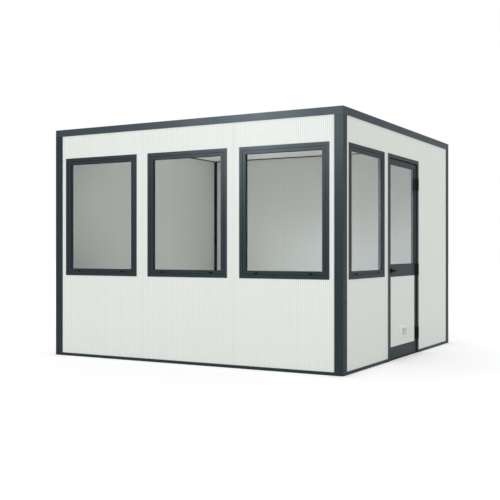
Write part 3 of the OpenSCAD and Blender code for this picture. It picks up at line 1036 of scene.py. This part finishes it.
@dataclass
class Windows:
    """The four windows, with glass seals on both sides and a bead of sealant round each frame."""

    seal: GlassSeal = GlassSeal()
    bead: SealantBead = SealantBead()
    frame_face: float = 36 * MM
    frame_bevel: float = 1.5 * MM
    joint: float = 0.35 * MM

    def build(self) -> None:
        """Dresses the windows and adds their seals and joint lines."""
        FRAME_PAINT.dress("window_frames", "window_sashes")
        LINING_PAINT.dress("window_inner_trims")
        GLAZING.dress("window_panes")
        DRAIN_PLASTIC.dress("window_drain_caps")
        self.add_seals()
        self.add_joints()

    def add_seals(self) -> None:
        """Adds the rubber of the panes, and the sealant where each frame meets the wall."""
        rubber, sealant = MeshSketch(), MeshSketch()
        for plane in WALLS:
            for pane in plane.solids("window_panes"):
                self.seal.draw(rubber, plane, pane)
            for window in plane.solids("window_frames"):
                self.bead.draw(sealant, plane, plane.span(window))
        rubber.add("window_glass_seals", RUBBER, Body.BOOTH)
        sealant.add("window_sealant", SEALANT, Body.BOOTH)

    def add_joints(self) -> None:
        """Adds the hairline where the bars of each window frame meet at a mitre."""
        ends: list[Pair] = []
        for plane in WALLS:
            for window in plane.solids("window_frames"):
                face = plane.depths(window)[0]
                outer = plane.span(window).grown(-self.frame_bevel)
                inner = plane.span(window).grown(-self.frame_face)
                ends += zip(plane.corners(outer, face), plane.corners(inner, face))
        add_wires("window_mitre_joints", ends, self.joint, RUBBER, Body.BOOTH)


@dataclass
class Door:
    """The hinged door, its frame, seals, vent screen and lever collars."""

    seal: GlassSeal = GlassSeal()
    bead: SealantBead = SealantBead()
    stop_clear: float = 1.5 * MM
    stop_edge: float = 2 * MM
    stop_seal_width: float = 9 * MM
    stop_seal_rise: float = 3.5 * MM
    stop_seal_taper: float = 1.8 * MM
    vent_rim: float = 12 * MM
    vent_lining: float = 3 * MM
    wire: float = 0.5 * MM
    wire_pitch: float = 6 * MM
    collar_bore: float = 9.6 * MM
    collar_radius: float = 20 * MM
    collar_rise: float = 12 * MM
    collar_bevel: float = 2 * MM
    collar_steps: int = 32

    def build(self) -> None:
        """Dresses the door and adds its seals, vent screen, vent lining and lever collars."""
        FRAME_PAINT.dress("door_jambs", "door_head", "door_threshold", "door_leaf")
        DOOR_SHEET.dress("door_lower_panel")
        GLAZING.dress("door_glass")
        VENT_PLASTIC.dress("door_vent")
        FITTINGS.dress("door_rosettes", "door_levers")
        HINGE_COAT.dress("frame_hinge_halves", "leaf_hinge_halves")
        self.add_glass_seals()
        self.add_stop_seal()
        self.add_sealant()
        self.add_vent_screen()
        self.add_vent_lining()
        self.add_collars()

    def add_glass_seals(self) -> None:
        """Adds the rubber between the door's glass and its leaf, outside and inside."""
        sketch = MeshSketch()
        self.seal.draw(sketch, DOOR_WALL, node_box("door_glass"))
        sketch.add("door_glass_seals", RUBBER, Body.DOOR)

    def add_stop_seal(self) -> None:
        """Adds the soft strip on the frame's stop that the closed leaf rests near."""
        leaf = node_box("door_leaf")
        front = DOOR_WALL.depths(leaf)[1] + self.stop_clear
        back = front + self.stop_seal_rise
        edge = DOOR_WALL.span(leaf).grown(self.stop_edge)
        span = Span(edge.s0, edge.s1, node_box("door_threshold").high.z + self.stop_clear, edge.z1)
        width, taper = self.stop_seal_width, self.stop_seal_taper
        profile = ((0, back), (width, back), (width - taper, front), (taper, front))
        sketch = MeshSketch()
        sketch.border(DOOR_WALL, span, profile, closed=False)
        sketch.add("door_stop_seal", RUBBER, Body.BOOTH)

    def add_sealant(self) -> None:
        """Adds the sealant where the door frame meets the wall."""
        jambs = DOOR_WALL.span(node_box("door_jambs"))
        span = Span(jambs.s0, jambs.s1, node_box("right_base_rail").high.z, node_box("door_head").high.z)
        sketch = MeshSketch()
        self.bead.draw(sketch, DOOR_WALL, span, closed=False)
        sketch.add("door_sealant", SEALANT, Body.BOOTH)

    @property
    def vent_hole(self) -> Span:
        """The opening in the lower panel behind the vent."""
        return DOOR_WALL.span(node_box("door_vent")).grown(-self.vent_rim)

    def add_vent_screen(self) -> None:
        """Adds the wire screen in the middle of the lower panel's opening."""
        hole, place = self.vent_hole, DOOR_WALL.point
        upright = sum(DOOR_WALL.depths(node_box("door_lower_panel"))) / 2
        level = upright + 2 * self.wire
        ends = [
            (place(s, upright, hole.z0), place(s, upright, hole.z1))
            for s in self.wire_places(hole.s0, hole.s1)
        ]
        ends += [
            (place(hole.s0, level, z), place(hole.s1, level, z))
            for z in self.wire_places(hole.z0, hole.z1)
        ]
        add_wires("vent_screen", ends, self.wire, SCREEN_WIRE, Body.DOOR)

    def wire_places(self, low: float, high: float) -> list[float]:
        """Even places of wires between two edges."""
        count = round((high - low) / self.wire_pitch)
        return [low + (i + 0.5) * (high - low) / count for i in range(count)]

    def add_vent_lining(self) -> None:
        """Adds the plastic ring round the opening on the room side of the lower panel."""
        back = DOOR_WALL.depths(node_box("door_lower_panel"))[1]
        rim, thick = self.vent_rim, self.vent_lining
        front = back + thick
        profile = ((0, back), (rim, back), (rim, front), (thick, front), (0, back + thick / 2))
        sketch = MeshSketch()
        sketch.border(DOOR_WALL, self.vent_hole.grown(rim), profile)
        sketch.add("vent_lining", VENT_PLASTIC, Body.DOOR)

    def add_collars(self) -> None:
        """Adds the raised collar on each rosette that the lever's neck passes through."""
        rosettes = node_box("door_rosettes")
        span = DOOR_WALL.span(rosettes)
        s, z = (span.s0 + span.s1) / 2, (span.z0 + span.z1) / 2
        bore, radius, rise, bevel = self.collar_bore, self.collar_radius, self.collar_rise, self.collar_bevel
        section = ((bore, 0.0), (radius, 0.0), (radius, rise - bevel), (radius - bevel, rise), (bore, rise))
        turns = [2 * math.pi * i / self.collar_steps for i in range(self.collar_steps)]
        sketch = MeshSketch()
        for face, outward in zip(DOOR_WALL.depths(rosettes), (-1, 1)):
            rings = [
                [
                    DOOR_WALL.point(s + r * math.cos(turn), face + outward * lift, z + r * math.sin(turn))
                    for r, lift in section
                ]
                for turn in turns
            ]
            sketch.rings(rings, closed=True)
        sketch.add("lever_collars", FITTINGS, Body.DOOR)


@dataclass
class Fixings:
    """Screws of the hinges, the vent, the threshold and the trims in the room."""

    radius: float = 4.5 * MM
    rise: float = 1.6 * MM
    recess: float = 0.9 * MM
    wing_set: float = 12 * MM
    wing_inset: float = 6.5 * MM
    hinge_ends: float = 22 * MM
    vent_hood: float = 14 * MM
    vent_inset: float = 6 * MM
    threshold_count: int = 4
    threshold_inset: float = 6.75 * MM
    trim_middle: float = 23 * MM
    trim_uprights: tuple[float, ...] = (0.02, 0.35, 0.65, 0.98)
    trim_levels: tuple[float, ...] = (0.35, 0.65)
    post_inset: float = 10 * MM
    post_pitch: float = 0.42

    def build(self) -> None:
        """Adds one piece of screws for each body and finish."""
        on_frame = self.hinge_screws("frame_hinge_halves", at_left=False)
        on_leaf = self.hinge_screws("leaf_hinge_halves", at_left=True)
        self.add("frame_hinge_screws", on_frame, HINGE_COAT, Body.BOOTH)
        self.add("leaf_hinge_screws", on_leaf, HINGE_COAT, Body.DOOR)
        self.add("vent_screws", self.vent_screws(), VENT_PLASTIC, Body.DOOR)
        self.add("threshold_screws", self.threshold_screws(), FITTINGS, Body.BOOTH)
        self.add("trim_screws", [*self.window_trim_screws(), *self.post_screws()], FRAME_PAINT, Body.BOOTH)

    def add(self, name: str, seats: Sequence[Pair], finish: Finish, body: Body) -> None:
        """Adds a piece of screws.

        Args:
            name: The piece's name.
            seats: Where each head sits and the way it faces.
            finish: The heads' finish.
            body: The body that carries them.
        """
        mesh = screw_tree().run(
            [place for place, _ in seats],
            {"facing": [facing for _, facing in seats]},
            {"Radius": self.radius, "Height": self.rise, "Recess": self.recess},
            finish,
        )
        add_piece(name, mesh, finish, body)

    def hinge_screws(self, node: str, at_left: bool) -> list[Pair]:
        """The screws of one half of each hinge.

        Args:
            node: The CAD node of the hinge halves.
            at_left: Whether their wings point to the left, seen from outside.

        Returns:
            Where each head sits and the way it faces.
        """
        seats: list[Pair] = []
        for box in solid_boxes(node):
            span = DOOR_WALL.span(box)
            s = span.s0 + self.wing_inset if at_left else span.s1 - self.wing_inset
            face = DOOR_WALL.depths(box)[0] + self.wing_set
            for z in (span.z0 + self.hinge_ends, span.z1 - self.hinge_ends):
                seats.append((DOOR_WALL.point(s, face, z), -DOOR_WALL.inward))
        return seats

    def vent_screws(self) -> list[Pair]:
        """The screws in the vent's rim, below its hood.

        Returns:
            Where each head sits and the way it faces.
        """
        box = node_box("door_vent")
        span = DOOR_WALL.span(box).grown(-self.vent_inset)
        face = DOOR_WALL.depths(box)[0] + self.vent_hood
        return [
            (DOOR_WALL.point(s, face, z), -DOOR_WALL.inward)
            for s in (span.s0, span.s1)
            for z in (span.z0, (span.z0 + span.z1) / 2)
        ]

    def threshold_screws(self) -> list[Pair]:
        """The screws along the room side of the threshold.

        Returns:
            Where each head sits and the way it faces.
        """
        box = node_box("door_threshold")
        span = DOOR_WALL.span(box)
        depth = DOOR_WALL.depths(box)[1] - self.threshold_inset
        step = (span.s1 - span.s0) / self.threshold_count
        places = [span.s0 + (i + 0.5) * step for i in range(self.threshold_count)]
        return [(DOOR_WALL.point(s, depth, span.z1), Vector((0, 0, 1))) for s in places]

    def window_trim_screws(self) -> list[Pair]:
        """The screws round each window's cover in the room.

        Returns:
            Where each head sits and the way it faces.
        """
        seats: list[Pair] = []
        for plane in WALLS:
            for box in plane.solids("window_inner_trims"):
                span = plane.span(box).grown(-self.trim_middle)
                depth = plane.depths(box)[1]
                wide, high = span.s1 - span.s0, span.z1 - span.z0
                places = [(s, span.z0 + high * k) for s in (span.s0, span.s1) for k in self.trim_uprights]
                places += [(span.s0 + wide * k, z) for z in (span.z0, span.z1) for k in self.trim_levels]
                seats += [(plane.point(s, depth, z), plane.inward) for s, z in places]
        return seats

    def post_screws(self) -> list[Pair]:
        """The screws in the painted-shade covers over the posts' inner legs.

        Returns:
            Where each head sits and the way it faces.
        """
        top = node_box("front_left_post").high.z
        depth = FRONT_WALL.depths(node_box("front_base_rail"))[1] + SHADE_COVER_THICKNESS
        rows = int(top / self.post_pitch)
        return [
            (plane.point(s, depth, (row + 0.5) * top / rows), plane.inward)
            for plane in WALLS
            for s in (post_leg() - self.post_inset, plane.length - post_leg() + self.post_inset)
            for row in range(rows)
        ]


@dataclass(frozen=True)
class Card:
    """An upright card that only shows as a reflection."""

    name: str
    low: Point
    high: Point
    srgb: Srgb


@dataclass(frozen=True)
class AreaLamp:
    """A broad lamp that some kinds of rays don't meet."""

    name: str
    energy: float
    size: tuple[float, float]
    place: Point
    tilt: float
    hidden: tuple[str, ...]
    spread: float = 180.0
    srgb: Srgb = (255, 255, 255)


@dataclass
class Stage:
    """Pale floor, even white surroundings, two cards to mirror, soft lamps and the camera."""

    camera_place: Point = (4.7838, -9.0311, 1.1440)
    camera_turn: float = 29.535
    lens: float = 62.876
    shift: tuple[float, float] = (0.0214, 0.00084)
    floor_reach: float = 60.0
    floor_srgb: Srgb = (226, 227, 226)
    floor_seen: float = 1.19
    sky: float = 0.87
    sun: float = 0.53
    sun_soft: float = 40.0
    sun_from: Point = (0.06, -1.0, 0.35)
    # The first lights the room from near the deck, the second only shows as a sheen on the paint.
    lamps: tuple[AreaLamp, ...] = (
        AreaLamp(
            "room light", 12.7, (2.2, 2.2), (-0.52, 0.15, 0.1), 180.0,
            ("camera", "glossy", "transmission"), spread=115.0,
        ),
        AreaLamp(
            "softbox", 1450.0, (3.2, 1.44), (-5.0, -12.8, 4.3), 90.0,
            ("camera", "diffuse", "transmission"), srgb=(232, 246, 255),
        ),
    )
    cards: tuple[Card, ...] = (
        Card("dark_card", (-16.0, -13.0, 0.3), (0.5, -13.0, 9.0), (40, 42, 44)),
        Card("grey_card", (1.5, 12.0, 0.05), (13.0, 12.0, 9.0), (213, 214, 215)),
    )

    def build(self) -> None:
        """Builds the floor, the light and the camera."""
        bpy.context.scene.view_settings.view_transform = "Standard"
        self.add_floor()
        self.add_sky()
        self.add_sun()
        for lamp in self.lamps:
            self.add_lamp(lamp)
        for card in self.cards:
            self.add_card(card)
        self.add_camera()

    @staticmethod
    def link(name: str, data: bpy.types.ID, hidden: Iterable[str] = ()) -> bpy.types.Object:
        """Puts something in the scene.

        Args:
            name: Its name.
            data: Its mesh, lamp or camera.
            hidden: The kinds of rays that don't meet it.

        Returns:
            Its object.
        """
        piece = bpy.data.objects.new(name, data)
        bpy.context.scene.collection.objects.link(piece)
        for ray in hidden:
            setattr(piece, f"visible_{ray}", False)
        return piece

    def add_sheet(
        self, name: str, corners: Sequence[Point], material: bpy.types.Material, hidden: Iterable[str] = ()
    ) -> None:
        """Adds a flat sheet that belongs to the stage.

        Args:
            name: The sheet's name.
            corners: Its corners, in order round the side that it shows.
            material: Its material.
            hidden: The kinds of rays that don't meet it.
        """
        mesh = bpy.data.meshes.new(name)
        mesh.from_pydata(corners, [], [tuple(range(len(corners)))])
        mesh.materials.append(material)
        self.link(name, mesh, hidden)

    def add_floor(self) -> None:
        """Adds a floor that looks white where no shadow falls on it."""
        material, sheet = blank_material("pale floor")
        rays = sheet.add("ShaderNodeLightPath").outputs
        seen = sheet.maths("MAXIMUM", rays["Is Camera Ray"], rays["Is Transmission Ray"])
        lit = sheet.out("ShaderNodeBsdfDiffuse", {"Color": linear(self.floor_srgb)})
        white = sheet.out("ShaderNodeBsdfDiffuse", {"Color": (*[self.floor_seen] * 3, 1.0)})
        mixed = sheet.out("ShaderNodeMixShader", {0: seen, 1: lit, 2: white})
        sheet.add("ShaderNodeOutputMaterial", {"Surface": mixed})
        r = self.floor_reach
        self.add_sheet("floor", ((-r, -r, 0), (r, -r, 0), (r, r, 0), (-r, r, 0)), material)

    def add_sky(self) -> None:
        """Sets even light all round, which looks white where it is seen or mirrored."""
        world = bpy.data.worlds.new("white surroundings")
        bpy.context.scene.world = world
        world.use_nodes = True
        world.node_tree.nodes.clear()
        sheet = NodeSheet(world.node_tree)
        rays = sheet.add("ShaderNodeLightPath").outputs
        mirrored = sheet.maths("MAXIMUM", rays["Is Glossy Ray"], rays["Is Transmission Ray"])
        seen = sheet.maths("MAXIMUM", rays["Is Camera Ray"], mirrored)
        strength = sheet.out("ShaderNodeMapRange", {"Value": seen, "To Min": self.sky, "To Max": 1.0})
        light = sheet.out("ShaderNodeBackground", {"Color": (1.0, 1.0, 1.0, 1.0), "Strength": strength})
        sheet.add("ShaderNodeOutputWorld", {"Surface": light})

    def add_sun(self) -> None:
        """Adds the soft sun."""
        lamp = bpy.data.lights.new("soft sun", "SUN")
        lamp.energy = self.sun
        lamp.angle = math.radians(self.sun_soft)
        sun = self.link("soft sun", lamp)
        sun.rotation_euler = Vector(self.sun_from).to_track_quat("Z", "Y").to_euler()

    def add_lamp(self, lamp: AreaLamp) -> None:
        """Adds a broad lamp.

        Args:
            lamp: The lamp.
        """
        data = bpy.data.lights.new(lamp.name, "AREA")
        data.energy = lamp.energy
        data.color = linear(lamp.srgb)[:3]
        data.shape = "RECTANGLE"
        data.size, data.size_y = lamp.size
        data.spread = math.radians(lamp.spread)
        light = self.link(lamp.name, data, lamp.hidden)
        light.location = lamp.place
        light.rotation_euler = (math.radians(lamp.tilt), 0, 0)

    def add_card(self, card: Card) -> None:
        """Adds a card beyond the booth.

        Args:
            card: The card.
        """
        (x0, y, z0), (x1, _, z1) = card.low, card.high
        material, sheet = blank_material(card.name)
        matt = sheet.out("ShaderNodeBsdfDiffuse", {"Color": linear(card.srgb)})
        sheet.add("ShaderNodeOutputMaterial", {"Surface": matt})
        self.add_sheet(
            card.name,
            ((x0, y, z1), (x1, y, z1), (x1, y, z0), (x0, y, z0)),
            material,
            ("camera", "diffuse", "transmission", "volume_scatter", "shadow"),
        )

    def add_camera(self) -> None:
        """Adds the camera at the photograph's viewing angle."""
        camera = self.link("camera", bpy.data.cameras.new("camera"))
        camera.data.lens = self.lens
        camera.data.shift_x, camera.data.shift_y = self.shift
        camera.location = self.camera_place
        camera.rotation_euler = (math.pi / 2, 0, math.radians(self.camera_turn))
        bpy.context.scene.camera = camera


def main() -> None:
    """Builds the parts of the booth in order, then the stage, logging each piece as it goes."""
    logging.basicConfig(level=logging.INFO, format="%(name)s: %(message)s")
    for part in (Shell(), Windows(), Door(), Fixings(), Stage()):
        part.build()


if __name__ == "__main__":
    main()
